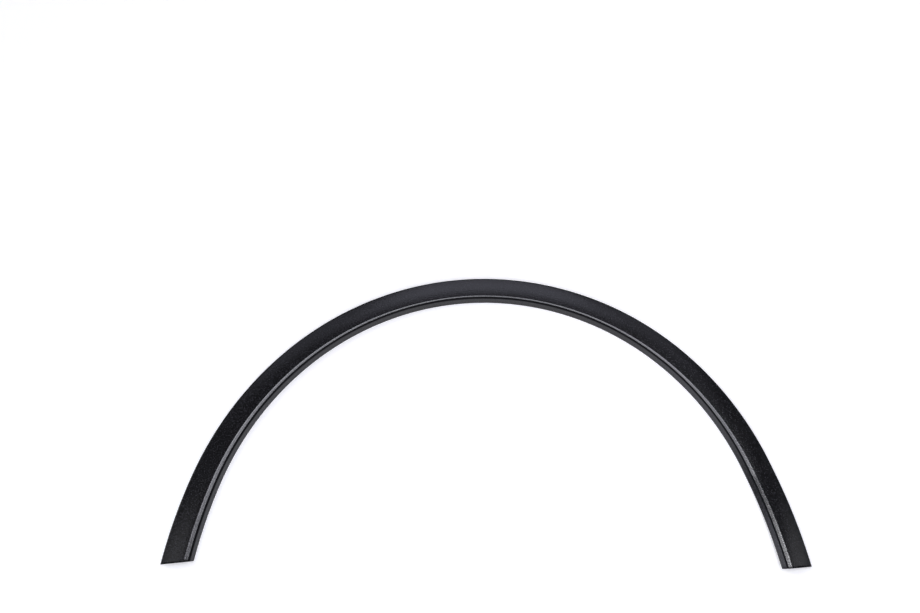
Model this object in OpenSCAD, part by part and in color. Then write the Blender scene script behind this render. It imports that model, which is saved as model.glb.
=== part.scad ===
// Wheel arch trim: one moulded plastic strip that follows the edge of a wheel opening.
// Millimetres. The trim lies face up on its lip, Z is up, and the open side of the arch
// faces -Y. X and Y are centred on the trim, and Z is zero where it lies.
// The path is the outer edge seen from above: tangent arcs that run left and right of the crown.

/* [Arch path] */
// Radius of the outer edge over the crown
crown_radius = 379; // [340:1:420]
// Turn of the crown arc to the left
crown_turn_left = 22.0; // [14:0.2:30]
// Turn of the crown arc to the right
crown_turn_right = 25.0; // [14:0.2:30]
// Radius of the left shoulder
left_shoulder_radius = 393; // [340:1:430]
// Turn of the left shoulder
left_shoulder_turn = 53.5; // [40:0.1:60]
// Radius of the left leg
left_leg_radius = 585; // [400:5:900]
// Turn of the left leg
left_leg_turn = 10.6; // [4:0.1:14]
// Radius of the right shoulder
right_shoulder_radius = 375; // [340:1:430]
// Turn of the right shoulder
right_shoulder_turn = 48.9; // [40:0.1:60]
// Radius of the right leg
right_leg_radius = 625; // [400:5:900]
// Turn of the right leg
right_leg_turn = 12.3; // [4:0.1:14]

/* [Section] */
// Width of the visible face at the two ends, from the outer edge to the crest
face_width = 27.3; // [22:0.1:34]
// Width that the face gains between the ends and the crown
crown_gain = 1.5; // [0:0.1:4]
// Fall of the face from the outer edge to the crest
face_fall = 0.8; // [0:0.1:1.2]
// Rise of the rounded face above a flat one, at its middle
face_bulge = 0.5; // [0:0.1:1.5]
// Thickness of the wall at the outer edge
edge_thickness = 3.2; // [2.6:0.1:4]
// Width of the bevel beside the crest, at the two ends
bevel_width = 4.3; // [3.6:0.1:6]
// Width that the bevel loses between the ends and the crown
bevel_loss = 2.8; // [0:0.1:2.8]
// Fall of the bevel at the two ends, and it keeps that slope where it is narrower
bevel_fall = 1.1; // [0.6:0.1:1.8]
// Width of the groove between the bevel and the lip
groove_width = 1.7; // [0.8:0.1:1.8]
// Depth of the groove below the foot of the bevel
groove_depth = 1.4; // [0.6:0.1:1.6]
// Depth of the lip at the crown, from the outer edge down to its foot
lip_depth = 10; // [8:0.1:14]
// Depth that the lip loses between the crown and the ends
lip_loss = 2; // [0:0.1:2.5]
// Lean of the lip toward the wheel, from the foot of the bevel to its own foot
lip_lean = 5.1; // [2:0.1:6]
// Thickness of the lip
lip_thickness = 2.6; // [1.6:0.1:3]

/* [Rounding] */
// Radius on the upper outer edge
edge_radius = 1.0; // [0.4:0.1:1.2]
// Radius on the lower outer edge
under_edge_radius = 0.5; // [0.2:0.1:1]
// Radius on the crest
crest_radius = 0.5; // [0.2:0.1:1]
// Radius on the two rims of the groove
rim_radius = 0.25; // [0.1:0.05:0.3]
// Radius on the foot of the lip
foot_radius = 0.6; // [0.3:0.1:0.9]
// Radius of the hollow corner behind the lip
hollow_radius = 1.5; // [0.5:0.1:2.5]

/* [Tilt of the face] */
// Share of each side, from the crown, over which the face stays level and the lip as deep
level_share = 0.35; // [0.1:0.05:0.6]
// Tilt of the face at the left end, outer edge down
left_tilt = 3; // [0:0.5:10]
// Tilt of the face at the right end, outer edge down
right_tilt = 15; // [0:0.5:18]

/* [Cut ends] */
// Turn of the left cut away from square to the path, crest side toward the crown
left_cut_skew = 9.5; // [0:0.5:15]
// Turn of the right cut away from square to the path, crest side toward the crown
right_cut_skew = 0; // [-5:0.5:10]
// Lean of both cuts: below zero the face reaches further than the underside, above zero less far
cut_lean = -12; // [-25:1:25]
// Length of path over which the sections turn into the plane of the cut
cut_blend = 60; // [30:5:120]

/* [Hidden] */
// Longest step between two sections along the outer edge
path_step = 17.5;
// Steps along the rounded face, and steps in each rounded corner
face_steps = 5;
corner_steps = 3;
// Power of the curve by which the tilt grows toward an end
tilt_power = 1.5;
trim_colour = "#212124";

// Each side of the path as a row of [radius, turn], outward from the crown
left_arcs = [
    [crown_radius, crown_turn_left],
    [left_shoulder_radius, left_shoulder_turn],
    [left_leg_radius, left_leg_turn]
];
right_arcs = [
    [crown_radius, crown_turn_right],
    [right_shoulder_radius, right_shoulder_turn],
    [right_leg_radius, right_leg_turn]
];

function turn_before(arcs, n) = n == 0 ? 0 : turn_before(arcs, n - 1) + arcs[n - 1][1];
function heading(turn) = [sin(turn), cos(turn)];
function arc_start(arcs, n) =
    n == 0
        ? [0, 0]
        : arc_start(arcs, n - 1)
            + arcs[n - 1][0] * (heading(turn_before(arcs, n)) - heading(turn_before(arcs, n - 1)));
function arc_length(arc) = arc[0] * arc[1] * PI / 180;
function length_before(arcs, n) = n == 0 ? 0 : length_before(arcs, n - 1) + arc_length(arcs[n - 1]);
function arc_steps(arc) = ceil(arc_length(arc) / path_step);

// Stations of one side, crown first. Each is [point, turn, share of the side's length, side,
// length left to the end], and side is 1 to the right of the crown and -1 to the left.
function side_stations(arcs, side) =
    let (full = length_before(arcs, len(arcs)))
    [
        for (n = [0 : len(arcs) - 1])
            let (steps = arc_steps(arcs[n]), start_turn = turn_before(arcs, n))
            for (i = [1 : steps])
                let (
                    part = i / steps,
                    turn = start_turn + arcs[n][1] * part,
                    flat = arc_start(arcs, n) + arcs[n][0] * (heading(turn) - heading(start_turn)),
                    run = length_before(arcs, n) + arc_length(arcs[n]) * part
                )
                [[side * flat[0], flat[1]], turn, run / full, side, full - run]
    ];
function reversed(list) = [for (i = [len(list) - 1 : -1 : 0]) list[i]];

right_length = length_before(right_arcs, len(right_arcs));
crown_station = [[0, 0], 0, 0, 1, right_length];
stations = concat(
    reversed(side_stations(left_arcs, -1)),
    [crown_station],
    side_stations(right_arcs, 1)
);

// Corner of a section, rounded by an arc that touches both of its sides
function unit(v) = v / norm(v);
function corner(before, tip, after, radius) =
    let (
        a = unit(before - tip),
        b = unit(after - tip),
        half = acos(max(-1, min(1, a * b))) / 2,
        reach = radius / tan(half),
        centre = tip + unit(a + b) * radius / sin(half),
        from = tip + a * reach - centre,
        to = tip + b * reach - centre,
        swing = 180 - 2 * half,
        way = sign(from[0] * to[1] - from[1] * to[0])
    )
    [
        for (i = [0 : corner_steps])
            let (t = way * swing * i / corner_steps)
            centre + [from[0] * cos(t) - from[1] * sin(t), from[0] * sin(t) + from[1] * cos(t)]
    ];

// Closed outline of the wall for the widths of the face and the bevel and the depth of the lip.
// The first number runs inward from the outer edge and the second one up from its top.
function section(width, bevel, depth) =
    let (
        edge_top = [0, 0],
        crest = [width, -face_fall],
        bevel_foot = crest + [bevel, -bevel_fall * bevel / bevel_width],
        groove_floor = bevel_foot + [groove_width / 2, -groove_depth],
        lip_top = bevel_foot + [groove_width, -groove_depth / 2],
        lip_foot = [bevel_foot[0] + lip_lean + groove_width / 2, -depth],
        lip_way = unit(lip_foot - lip_top),
        lip_back = [lip_foot[0] - lip_thickness, -depth],
        hollow_rise = depth - edge_thickness,
        hollow = lip_back - lip_way * hollow_rise / abs(lip_way[1]),
        edge_under = [0, -edge_thickness],
        face_line = [
            for (i = [1 : face_steps - 1])
                let (t = i / face_steps)
                crest * t + [0, face_bulge * 4 * t * (1 - t)]
        ]
    )
    concat(
        corner(edge_under, edge_top, face_line[0], edge_radius),
        face_line,
        corner(face_line[face_steps - 2], crest, bevel_foot, crest_radius),
        corner(crest, bevel_foot, groove_floor, rim_radius),
        [groove_floor],
        corner(groove_floor, lip_top, lip_foot, rim_radius),
        corner(lip_top, lip_foot, lip_back, foot_radius),
        corner(lip_foot, lip_back, hollow, foot_radius),
        corner(lip_back, hollow, edge_under, hollow_radius),
        corner(hollow, edge_under, edge_top, under_edge_radius)
    );

// How far a station is toward an end beyond the level part, and how near it is to the crown
function end_share(share) = max(0, (share - level_share) / (1 - level_share));
function crown_share(share) = pow(cos(90 * share), 2);
function tilt_at(station) =
    (station[3] < 0 ? left_tilt : right_tilt) * pow(end_share(station[2]), tilt_power);
function skew_at(station) = station[3] < 0 ? left_cut_skew : right_cut_skew;

// Section set up at a station: tilted, lowered until it lies on the floor,
// and drawn into the plane of the cut near an end
function ring(station) =
    let (
        near_crown = crown_share(station[2]),
        outline = section(
            face_width + crown_gain * near_crown,
            bevel_width - bevel_loss * near_crown,
            lip_depth - lip_loss * end_share(station[2])
        ),
        tilt = tilt_at(station),
        tilted = [
            for (p = outline)
                [p[0] * cos(tilt) - p[1] * sin(tilt), p[0] * sin(tilt) + p[1] * cos(tilt)]
        ],
        lowest = min([for (p = tilted) p[1]]),
        top = max([for (p = tilted) p[1]]),
        inward = [-station[3] * sin(station[1]), -cos(station[1])],
        onward = [station[3] * cos(station[1]), -sin(station[1])],
        cut = max(0, 1 - station[4] / cut_blend)
    )
    [
        for (p = tilted)
            let (
                draw = cut * ((top - p[1]) * tan(cut_lean) - p[0] * tan(skew_at(station))),
                flat = station[0] + inward * p[0] + onward * draw
            )
            [flat[0], flat[1], p[1] - lowest]
    ];

rings = [for (station = stations) ring(station)];
ring_size = len(rings[0]);
last_ring = len(rings) - 1;
all_points = [for (r = rings) for (p = r) p];
all_x = [for (p = all_points) p[0]];
all_y = [for (p = all_points) p[1]];
middle = [(min(all_x) + max(all_x)) / 2, (min(all_y) + max(all_y)) / 2, 0];

// Skin between neighbouring rings, two triangles to each step of the outline
skin = [
    for (k = [0 : last_ring - 1])
        for (i = [0 : ring_size - 1])
            let (
                j = (i + 1) % ring_size,
                a = k * ring_size + i,
                b = k * ring_size + j,
                c = a + ring_size,
                d = b + ring_size
            )
            for (face = [[a, d, b], [a, c, d]]) face
];
left_cap = [for (i = [0 : ring_size - 1]) i];
right_cap = reversed([for (i = [0 : ring_size - 1]) last_ring * ring_size + i]);

// The trim in one piece
module arch_trim() {
    color(trim_colour)
        translate(-middle)
            polyhedron(points = all_points, faces = concat(skin, [left_cap, right_cap]));
}

arch_trim();
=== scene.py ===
"""A wheel arch trim lying face up on a white surface, seen from above its open side."""

import math

import bpy
import numpy as np
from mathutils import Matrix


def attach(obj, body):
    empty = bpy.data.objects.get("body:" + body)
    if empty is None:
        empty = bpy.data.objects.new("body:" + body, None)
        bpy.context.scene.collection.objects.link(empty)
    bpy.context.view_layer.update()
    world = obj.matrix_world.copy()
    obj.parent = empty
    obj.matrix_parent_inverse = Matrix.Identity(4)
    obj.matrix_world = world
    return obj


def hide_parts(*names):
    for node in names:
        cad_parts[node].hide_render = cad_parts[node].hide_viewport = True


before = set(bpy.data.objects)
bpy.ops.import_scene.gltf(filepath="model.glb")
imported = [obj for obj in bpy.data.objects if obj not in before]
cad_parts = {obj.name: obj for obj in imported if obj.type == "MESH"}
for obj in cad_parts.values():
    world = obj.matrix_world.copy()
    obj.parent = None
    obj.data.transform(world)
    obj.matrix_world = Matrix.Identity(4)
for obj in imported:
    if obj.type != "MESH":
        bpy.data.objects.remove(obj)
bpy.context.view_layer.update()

NODE = "arch_trim"
MM = 0.001

# The path of the outer edge, outward from the crown: rows of (radius in mm, turn in degrees)
CROWN_RADIUS = 379.0
LEFT_ARCS = ((CROWN_RADIUS, 22.0), (393.0, 53.5), (585.0, 10.6))
RIGHT_ARCS = ((CROWN_RADIUS, 25.0), (375.0, 48.9), (625.0, 12.3))

# The section of the wall, in mm
FACE_WIDTH = 27.3
CROWN_GAIN = 1.5
FACE_FALL = 0.8
FACE_BULGE = 0.5
EDGE_THICKNESS = 3.2
BEVEL_WIDTH = 4.3
BEVEL_LOSS = 2.8
BEVEL_FALL = 1.1
GROOVE_WIDTH = 1.7
GROOVE_DEPTH = 1.4
LIP_DEPTH = 10.0
LIP_LOSS = 2.0
LIP_LEAN = 5.1
LIP_THICKNESS = 2.6

# Radii of the section's corners, in mm
EDGE_RADIUS = 1.0
UNDER_EDGE_RADIUS = 0.5
CREST_RADIUS = 0.5
RIM_RADIUS = 0.25
FOOT_RADIUS = 0.6
HOLLOW_RADIUS = 1.5

# The tilt of the face and the cut of the ends, in degrees and mm
LEVEL_SHARE = 0.35
LEFT_TILT = 3.0
RIGHT_TILT = 15.0
TILT_POWER = 1.5
LEFT_CUT = 9.5
RIGHT_CUT = 0.0
CUT_LEAN = -12.0
CUT_BLEND = 60.0

# Longest step between two sections along the path, in mm
PATH_STEP = 4.0
# Steps along the rounded face, and the points between them
FACE_STEPS = 12
FACE_POINTS = FACE_STEPS - 1
# Points in each rounded corner
CORNER_POINTS = 7
# Where the extra points on the bevel and on the lip stand, as shares of that flat
FLAT_SHARES = (0.3, 0.5, 0.7)
# The rounded-over edge of the two cuts, in mm, less of it at the narrow groove, and its steps
CUT_EDGE = 0.5
CUT_EDGE_AT_GROOVE = 0.2
CUT_EDGE_TURNS = (0.0, 30.0, 60.0, 90.0)
# Faces that meet at more than this many degrees show a sharp edge
CREASE_ANGLE = 28.0

# Material slots of the skin
PLASTIC_SLOT = 0
# Painted shade in the groove and on the top of the lip beside it
GROOVE_PAINTED_SHADE_SLOT = 1
# A painted highlight along the crest, by a stronger gloss
CREST_PAINTED_HIGHLIGHT_SLOT = 2
# Share of the lip, from its top, that the groove shades, and what the crown and the left end add
SHADED_LIP = 0.04
SHADED_LIP_AT_CROWN = 0.11
SHADED_LIP_AT_LEFT_END = 0.15
# Steps of the crest's rounding, on its face side, that don't get the painted highlight
CREST_STEPS_WITHOUT_HIGHLIGHT = 2

# The plastic: its gloss, and its roughness and tone where it is darkest and lightest
PLASTIC_IOR = 1.5
PLASTIC_SPECULAR = 0.6
# A stronger gloss along the crest, which paints a highlight there
CREST_PAINTED_HIGHLIGHT_SPECULAR = 0.95
PLASTIC_ROUGHNESS = (0.14, 0.20)
PLASTIC_TONES = ((0.003, 0.003, 0.0034, 1), (0.018, 0.018, 0.021, 1))
# Its pebbled grain: cells per metre, how softly they join, its strength and its height in metres
GRAIN_SCALE = 700.0
GRAIN_SOFTNESS = 0.5
GRAIN_STRENGTH = 0.28
GRAIN_HEIGHT = 0.0002
# Its light specks: scale and detail of the noise, and the levels between which they appear
SPECK_SCALE = 620.0
SPECK_DETAIL = 1.0
SPECK_LEVELS = (0.46, 0.66)
# Painted shade deep in the groove: the plastic there has a darker colour and a weaker gloss, and
# is rougher
GROOVE_PAINTED_SHADE_COLOUR = (0.006, 0.006, 0.0075, 1)
GROOVE_ROUGHNESS = 0.55
GROOVE_PAINTED_SHADE_SPECULAR = 0.12

# The floor: half its side in metres, its surface, and the glow that the camera and reflections see
FLOOR_HALF = 2.2
FLOOR_COLOUR = (0.86, 0.86, 0.87, 1)
FLOOR_ROUGHNESS = 0.9
FLOOR_GLOW = 0.37

# The world: its colour, and its strength below and above the heights between which it fades
SKY_COLOUR = (0.91, 0.92, 1.0, 1)
SKY_STRENGTHS = (1.5, 0.07)
SKY_HEIGHTS = (0.22, 0.46)

# Colours of the soft boxes
PLAIN = (0.95, 0.95, 1.0)
WHITE = (0.90, 0.905, 1.0)
COOL = (0.82, 0.825, 1.0)
# Soft boxes that face straight down: name, place and size in metres, radiance and colour
OVERHEAD_BOXES = (
    ("box_overhead", (0.35, 0.39, 3.2), (1.3, 0.5), 5.7, WHITE),
    ("box_overhead_right", (1.45, 0.38, 3.2), (1.24, 0.44), 10.3, PLAIN),
    ("box_behind", (0.15, 2.25, 3.2), (1.3, 1.3), 0.80, COOL),
    ("panel_behind", (0.0, 1.9, 3.25), (3.6, 0.9), 0.42, COOL),
    ("panel_left", (-1.80, 0.20, 3.2), (1.1, 0.6), 0.74, PLAIN),
    ("panel_right", (4.35, 0.75, 3.2), (2.1, 0.6), 0.90, PLAIN),
    ("panel_west", (-4.1, 0.0, 3.2), (2.6, 1.2), 1.20, COOL),
)
# The soft box in front, which faces the middle of the trim
FRONT_PLACE = (0.0, -2.6, 2.9)
FRONT_AIM = (0.0, 0.0, 0.0)
FRONT_SIZE = (2.4, 1.4)
FRONT_RADIANCE = 5.0
# The low light from the left: azimuth from +X, elevation and spread in degrees, and irradiance
SIDE_AZIMUTH = 155.0
SIDE_ELEVATION = 32.0
SIDE_SPREAD = 20.0
SIDE_IRRADIANCE = 0.9

# The camera: its place in mm, its pitch below the horizon in degrees, its lens and sensor in mm
CAMERA_X = -31.4
CAMERA_Y = -346.1
CAMERA_Z = 878.25
CAMERA_PITCH = 60.0
CAMERA_LENS = 27.27
SENSOR_WIDTH = 36.0


def unit(vector):
    """The vector at length one."""
    return vector / np.linalg.norm(vector)


def heading(turn):
    """Where the outward side of the path points after a turn in degrees."""
    angle = math.radians(turn)
    return np.array([math.sin(angle), math.cos(angle)])


def side_stations(arcs, side):
    """Stations of one side, crown first: point, turn, share of the side, side, length left."""
    full = sum(radius * math.radians(turn) for radius, turn in arcs)
    start, start_turn, run, stations = np.zeros(2), 0.0, 0.0, []
    for radius, turn in arcs:
        length = radius * math.radians(turn)
        steps = math.ceil(length / PATH_STEP)
        for i in range(1, steps + 1):
            here = start_turn + turn * i / steps
            flat = start + radius * (heading(here) - heading(start_turn))
            done = run + length * i / steps
            point = np.array([side * flat[0], flat[1]])
            stations.append((point, here, done / full, side, full - done))
        start = start + radius * (heading(start_turn + turn) - heading(start_turn))
        start_turn += turn
        run += length
    return stations


def corner(before, tip, after, radius):
    """An arc that rounds the corner at tip."""
    a, b = unit(before - tip), unit(after - tip)
    half = math.acos(float(a @ b)) / 2
    centre = tip + unit(a + b) * radius / math.sin(half)
    x, y = tip + a * radius / math.tan(half) - centre
    end = tip + b * radius / math.tan(half) - centre
    swing = math.copysign(math.pi - 2 * half, x * end[1] - y * end[0])
    return [
        centre + (x * math.cos(t) - y * math.sin(t), x * math.sin(t) + y * math.cos(t))
        for t in np.linspace(0, swing, CORNER_POINTS)
    ]


def between(start, end):
    """Points that keep a flat of the section flat beside its rounded corners."""
    return [start + (end - start) * t for t in FLAT_SHARES]


def section(width, bevel, depth, shaded):
    """The closed outline of the wall: inward from the outer edge, and up from its top.

    It follows the widths of the face and the bevel, the depth of the lip and its shaded share.
    """
    edge_top = np.array([0.0, 0.0])
    crest = np.array([width, -FACE_FALL])
    bevel_foot = crest + (bevel, -BEVEL_FALL * bevel / BEVEL_WIDTH)
    groove_floor = bevel_foot + (GROOVE_WIDTH / 2, -GROOVE_DEPTH)
    lip_top = bevel_foot + (GROOVE_WIDTH, -GROOVE_DEPTH / 2)
    lip_foot = np.array([bevel_foot[0] + LIP_LEAN + GROOVE_WIDTH / 2, -depth])
    lip_way = unit(lip_foot - lip_top)
    lip_back = np.array([lip_foot[0] - LIP_THICKNESS, -depth])
    hollow = lip_back - lip_way * (depth - EDGE_THICKNESS) / abs(lip_way[1])
    edge_under = np.array([0.0, -EDGE_THICKNESS])
    shares = np.arange(1, FACE_STEPS) / FACE_STEPS
    face_line = [crest * t + (0, FACE_BULGE * 4 * t * (1 - t)) for t in shares]
    return np.array(
        corner(edge_under, edge_top, face_line[0], EDGE_RADIUS)
        + face_line
        + corner(face_line[-1], crest, bevel_foot, CREST_RADIUS)
        + between(crest, bevel_foot)
        + corner(crest, bevel_foot, groove_floor, RIM_RADIUS)
        + [groove_floor]
        + corner(groove_floor, lip_top, lip_foot, RIM_RADIUS)
        + [lip_top + (lip_foot - lip_top) * shaded]
        + between(lip_top, lip_foot)
        + corner(lip_top, lip_foot, lip_back, FOOT_RADIUS)
        + corner(lip_foot, lip_back, hollow, FOOT_RADIUS)
        + corner(lip_back, hollow, edge_under, HOLLOW_RADIUS)
        + corner(hollow, edge_under, edge_top, UNDER_EDGE_RADIUS)
    )


def crest_highlight_run():
    """The places of the crest's points that get the painted highlight in a section's outline."""
    first = CORNER_POINTS + FACE_POINTS
    return range(first + CREST_STEPS_WITHOUT_HIGHLIGHT, first + CORNER_POINTS)


def groove_run():
    """The places of the groove's points in a section's outline: its two rims and its floor."""
    first = 2 * CORNER_POINTS + FACE_POINTS + len(FLAT_SHARES)
    return range(first, first + 2 * CORNER_POINTS + 1)


def slot_at(place):
    """The material slot of the skin from a place in the outline to the next one."""
    if place in groove_run()[1:]:
        return GROOVE_PAINTED_SHADE_SLOT
    return CREST_PAINTED_HIGHLIGHT_SLOT if place in crest_highlight_run() else PLASTIC_SLOT


def ring(station):
    """The section at a station: tilted, laid on the floor and drawn into the cut's plane."""
    point, turn, share, side, left = station
    near_crown = math.cos(math.pi / 2 * share) ** 2
    near_end = max(0.0, (share - LEVEL_SHARE) / (1 - LEVEL_SHARE))
    shaded = SHADED_LIP + SHADED_LIP_AT_CROWN * near_crown
    if side < 0:
        shaded += SHADED_LIP_AT_LEFT_END * near_end
    outline = section(
        FACE_WIDTH + CROWN_GAIN * near_crown,
        BEVEL_WIDTH - BEVEL_LOSS * near_crown,
        LIP_DEPTH - LIP_LOSS * near_end,
        shaded,
    )
    tilt = math.radians((LEFT_TILT if side < 0 else RIGHT_TILT) * near_end**TILT_POWER)
    u = outline[:, 0] * math.cos(tilt) - outline[:, 1] * math.sin(tilt)
    v = outline[:, 0] * math.sin(tilt) + outline[:, 1] * math.cos(tilt)
    out = heading(turn)
    inward = np.array([-side * out[0], -out[1]])
    onward = np.array([side * out[1], -out[0]])
    cut = max(0.0, 1 - left / CUT_BLEND)
    cut_turn = math.radians(LEFT_CUT if side < 0 else RIGHT_CUT)
    draw = cut * ((v.max() - v) * math.tan(math.radians(CUT_LEAN)) - u * math.tan(cut_turn))
    flat = point + np.outer(u, inward) + np.outer(draw, onward)
    return np.column_stack([flat, v - v.min()])


def eased_end(last, before):
    """Rings that round the edge of a cut over, from just before the cut to its plane."""
    along = last - before
    along /= np.linalg.norm(along, axis=1)[:, None]
    around = np.roll(last, -1, axis=0) - np.roll(last, 1, axis=0)
    inward = np.cross(along, around)
    inward /= np.linalg.norm(inward, axis=1)[:, None]
    if np.sum(inward * (last.mean(axis=0) - last)) < 0:
        inward = -inward
    size = np.full((len(last), 1), CUT_EDGE)
    size[list(groove_run())] = CUT_EDGE_AT_GROOVE
    return [
        last - along * size * (1 - math.sin(t)) + inward * size * (1 - math.cos(t))
        for t in np.radians(CUT_EDGE_TURNS)
    ]


def trim_rings():
    """All rings from the left end to the right end, centred as the frame is, in metres."""
    right_full = sum(radius * math.radians(turn) for radius, turn in RIGHT_ARCS)
    crown = (np.zeros(2), 0.0, 0.0, 1, right_full)
    stations = side_stations(LEFT_ARCS, -1)[::-1] + [crown] + side_stations(RIGHT_ARCS, 1)
    rings = np.array([ring(station) for station in stations])
    low, high = rings.min(axis=(0, 1)), rings.max(axis=(0, 1))
    rings[:, :, :2] -= ((low + high) / 2)[:2]
    left_end = eased_end(rings[0], rings[1])[::-1]
    right_end = eased_end(rings[-1], rings[-2])
    return np.concatenate([left_end, rings[1:-1], right_end]) * MM


def make_trim():
    """The trim's skin as one closed mesh that stands for the CAD node."""
    rings = trim_rings()
    count, size = rings.shape[:2]
    faces = []
    for k in range(count - 1):
        for i in range(size):
            j = (i + 1) % size
            faces.append((k * size + i, k * size + j, (k + 1) * size + j, (k + 1) * size + i))
    left_cap = tuple(reversed(range(size)))
    right_cap = tuple((count - 1) * size + i for i in range(size))
    slots = [slot_at(i) for i in range(size)] * (count - 1) + [PLASTIC_SLOT] * 2
    mesh = bpy.data.meshes.new("trim_skin")
    mesh.from_pydata(rings.reshape(-1, 3).tolist(), [], faces + [left_cap, right_cap])
    mesh.validate()
    for polygon, slot in zip(mesh.polygons, slots):
        polygon.use_smooth = True
        polygon.material_index = slot
    mesh.set_sharp_from_angle(angle=math.radians(CREASE_ANGLE))
    trim = bpy.data.objects.new("trim_skin", mesh)
    bpy.context.scene.collection.objects.link(trim)
    return trim


def new_material(name):
    """A material with its shader and output joined, and its nodes and links."""
    material = bpy.data.materials.new(name)
    material.use_nodes = True
    return material, material.node_tree.nodes, material.node_tree.links


def set_inputs(node, values):
    """Give inputs of a node their values by name."""
    for name, value in values.items():
        node.inputs[name].default_value = value


def groove_painted_shade_material():
    """The same plastic deep in the groove, with painted shade: darker and less glossy there, and
    rougher, as little light comes back out.
    """
    material, nodes, _ = new_material("black_plastic_painted_shade_in_groove")
    shader_values = {
        "Base Color": GROOVE_PAINTED_SHADE_COLOUR,
        "Roughness": GROOVE_ROUGHNESS,
        "Specular IOR Level": GROOVE_PAINTED_SHADE_SPECULAR,
    }
    set_inputs(nodes["Principled BSDF"], shader_values)
    return material


def plastic_material(name, specular_level):
    """Black moulded plastic with a pebbled grain, fine light specks and a satin gloss."""
    material, nodes, links = new_material(name)
    shader = nodes["Principled BSDF"]
    set_inputs(shader, {"IOR": PLASTIC_IOR, "Specular IOR Level": specular_level})
    place = nodes.new("ShaderNodeTexCoord")
    grain = nodes.new("ShaderNodeTexVoronoi")
    grain.feature = "SMOOTH_F1"
    set_inputs(grain, {"Scale": GRAIN_SCALE, "Smoothness": GRAIN_SOFTNESS})
    links.new(place.outputs["Object"], grain.inputs["Vector"])
    bump = nodes.new("ShaderNodeBump")
    set_inputs(bump, {"Strength": GRAIN_STRENGTH, "Distance": GRAIN_HEIGHT})
    links.new(grain.outputs["Distance"], bump.inputs["Height"])
    links.new(bump.outputs["Normal"], shader.inputs["Normal"])
    noise = nodes.new("ShaderNodeTexNoise")
    set_inputs(noise, {"Scale": SPECK_SCALE, "Detail": SPECK_DETAIL})
    links.new(place.outputs["Object"], noise.inputs["Vector"])
    speck = nodes.new("ShaderNodeMapRange")
    set_inputs(speck, {"From Min": SPECK_LEVELS[0], "From Max": SPECK_LEVELS[1]})
    links.new(noise.outputs["Fac"], speck.inputs["Value"])
    tone = nodes.new("ShaderNodeMix")
    tone.data_type = "RGBA"
    set_inputs(tone, {"A": PLASTIC_TONES[0], "B": PLASTIC_TONES[1]})
    links.new(speck.outputs["Result"], tone.inputs["Factor"])
    links.new(tone.outputs["Result"], shader.inputs["Base Color"])
    rough = nodes.new("ShaderNodeMapRange")
    set_inputs(rough, {"To Min": PLASTIC_ROUGHNESS[0], "To Max": PLASTIC_ROUGHNESS[1]})
    links.new(speck.outputs["Result"], rough.inputs["Value"])
    links.new(rough.outputs["Result"], shader.inputs["Roughness"])
    return material


def floor_material():
    """A matt white surface that the camera and reflections see as bright."""
    material, nodes, links = new_material("white_surface")
    shader = nodes["Principled BSDF"]
    shader_values = {
        "Base Color": FLOOR_COLOUR,
        "Roughness": FLOOR_ROUGHNESS,
        "Specular IOR Level": 0.0,
    }
    set_inputs(shader, shader_values)
    glow = nodes.new("ShaderNodeEmission")
    set_inputs(glow, {"Strength": FLOOR_GLOW})
    both = nodes.new("ShaderNodeAddShader")
    links.new(shader.outputs["BSDF"], both.inputs[0])
    links.new(glow.outputs["Emission"], both.inputs[1])
    path = nodes.new("ShaderNodeLightPath")
    seen = nodes.new("ShaderNodeMath")
    seen.operation = "MAXIMUM"
    links.new(path.outputs["Is Camera Ray"], seen.inputs[0])
    links.new(path.outputs["Is Glossy Ray"], seen.inputs[1])
    pick = nodes.new("ShaderNodeMixShader")
    links.new(seen.outputs["Value"], pick.inputs["Fac"])
    links.new(shader.outputs["BSDF"], pick.inputs[1])
    links.new(both.outputs["Shader"], pick.inputs[2])
    links.new(pick.outputs["Shader"], nodes["Material Output"].inputs["Surface"])
    return material


def make_floor():
    """The white surface that the trim lies on."""
    low, high = -FLOOR_HALF, FLOOR_HALF
    corners = [(low, low, 0), (high, low, 0), (high, high, 0), (low, high, 0)]
    mesh = bpy.data.meshes.new("floor")
    mesh.from_pydata(corners, [], [(0, 1, 2, 3)])
    floor = bpy.data.objects.new("floor", mesh)
    bpy.context.scene.collection.objects.link(floor)
    mesh.materials.append(floor_material())


def area_lamp(name, place, aim, size, radiance, colour):
    """A soft box at a place that faces aim, and whose face looks as bright as its radiance."""
    light = bpy.data.lights.new(name, "AREA")
    light.shape = "RECTANGLE"
    light.size, light.size_y = size
    light.energy = math.pi * size[0] * size[1] * radiance
    light.color = colour
    lamp = bpy.data.objects.new(name, light)
    bpy.context.scene.collection.objects.link(lamp)
    lamp.location = place
    way = np.array(aim) - np.array(place)
    along = math.hypot(way[0], way[1])
    turn = math.atan2(way[1], way[0]) - math.pi / 2 if along > 0 else 0.0
    lamp.rotation_euler = (math.atan2(along, -way[2]), 0, turn)


def far_lamp(name, azimuth, elevation, spread, irradiance):
    """A soft light from far off."""
    light = bpy.data.lights.new(name, "SUN")
    light.energy = irradiance
    light.angle = math.radians(spread)
    lamp = bpy.data.objects.new(name, light)
    bpy.context.scene.collection.objects.link(lamp)
    lamp.rotation_euler = (math.radians(90 - elevation), 0, math.radians(azimuth + 90))


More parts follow.
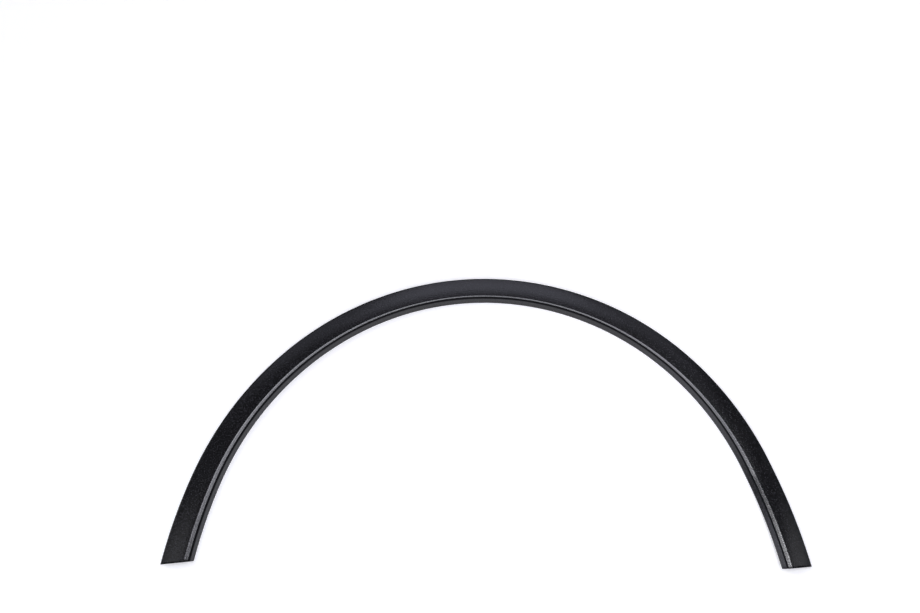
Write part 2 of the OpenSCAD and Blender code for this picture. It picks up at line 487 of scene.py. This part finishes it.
def make_world():
    """A dim room above a pale horizon, so the low sides of the trim see a white surround."""
    world = bpy.data.worlds.new("studio")
    world.use_nodes = True
    nodes, links = world.node_tree.nodes, world.node_tree.links
    sky = nodes["Background"]
    set_inputs(sky, {"Color": SKY_COLOUR})
    place = nodes.new("ShaderNodeTexCoord")
    split = nodes.new("ShaderNodeSeparateXYZ")
    links.new(place.outputs["Generated"], split.inputs["Vector"])
    fade = nodes.new("ShaderNodeMapRange")
    fade.interpolation_type = "SMOOTHSTEP"
    fade_values = {
        "From Min": SKY_HEIGHTS[0],
        "From Max": SKY_HEIGHTS[1],
        "To Min": SKY_STRENGTHS[0],
        "To Max": SKY_STRENGTHS[1],
    }
    set_inputs(fade, fade_values)
    links.new(split.outputs["Z"], fade.inputs["Value"])
    links.new(fade.outputs["Result"], sky.inputs["Strength"])
    bpy.context.scene.world = world


def light_scene():
    """Plain soft studio light: boxes above and around the trim, and a low light from the left."""
    for name, place, size, radiance, colour in OVERHEAD_BOXES:
        area_lamp(name, place, (place[0], place[1], 0.0), size, radiance, colour)
    area_lamp("box_front", FRONT_PLACE, FRONT_AIM, FRONT_SIZE, FRONT_RADIANCE, WHITE)
    far_lamp("side_left", SIDE_AZIMUTH, SIDE_ELEVATION, SIDE_SPREAD, SIDE_IRRADIANCE)
    make_world()


def make_camera():
    """The camera, looking down over the open side of the arch."""
    data = bpy.data.cameras.new("camera")
    data.sensor_width = SENSOR_WIDTH
    data.lens = CAMERA_LENS
    camera = bpy.data.objects.new("camera", data)
    bpy.context.scene.collection.objects.link(camera)
    camera.location = (CAMERA_X * MM, CAMERA_Y * MM, CAMERA_Z * MM)
    camera.rotation_euler = (math.radians(90 - CAMERA_PITCH), 0, 0)
    bpy.context.scene.camera = camera


make_camera()
trim = make_trim()
# In the order of the material slots
trim.data.materials.append(plastic_material("grained_black_plastic", PLASTIC_SPECULAR))
# Painted shade in the groove and on the top of the lip beside it
trim.data.materials.append(groove_painted_shade_material())
# A painted highlight along the crest, by a stronger gloss
trim.data.materials.append(plastic_material("black_plastic_painted_highlight_on_crest", CREST_PAINTED_HIGHLIGHT_SPECULAR))
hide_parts(NODE)
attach(trim, "root")
make_floor()
light_scene()
bpy.context.scene.view_settings.view_transform = "Standard"
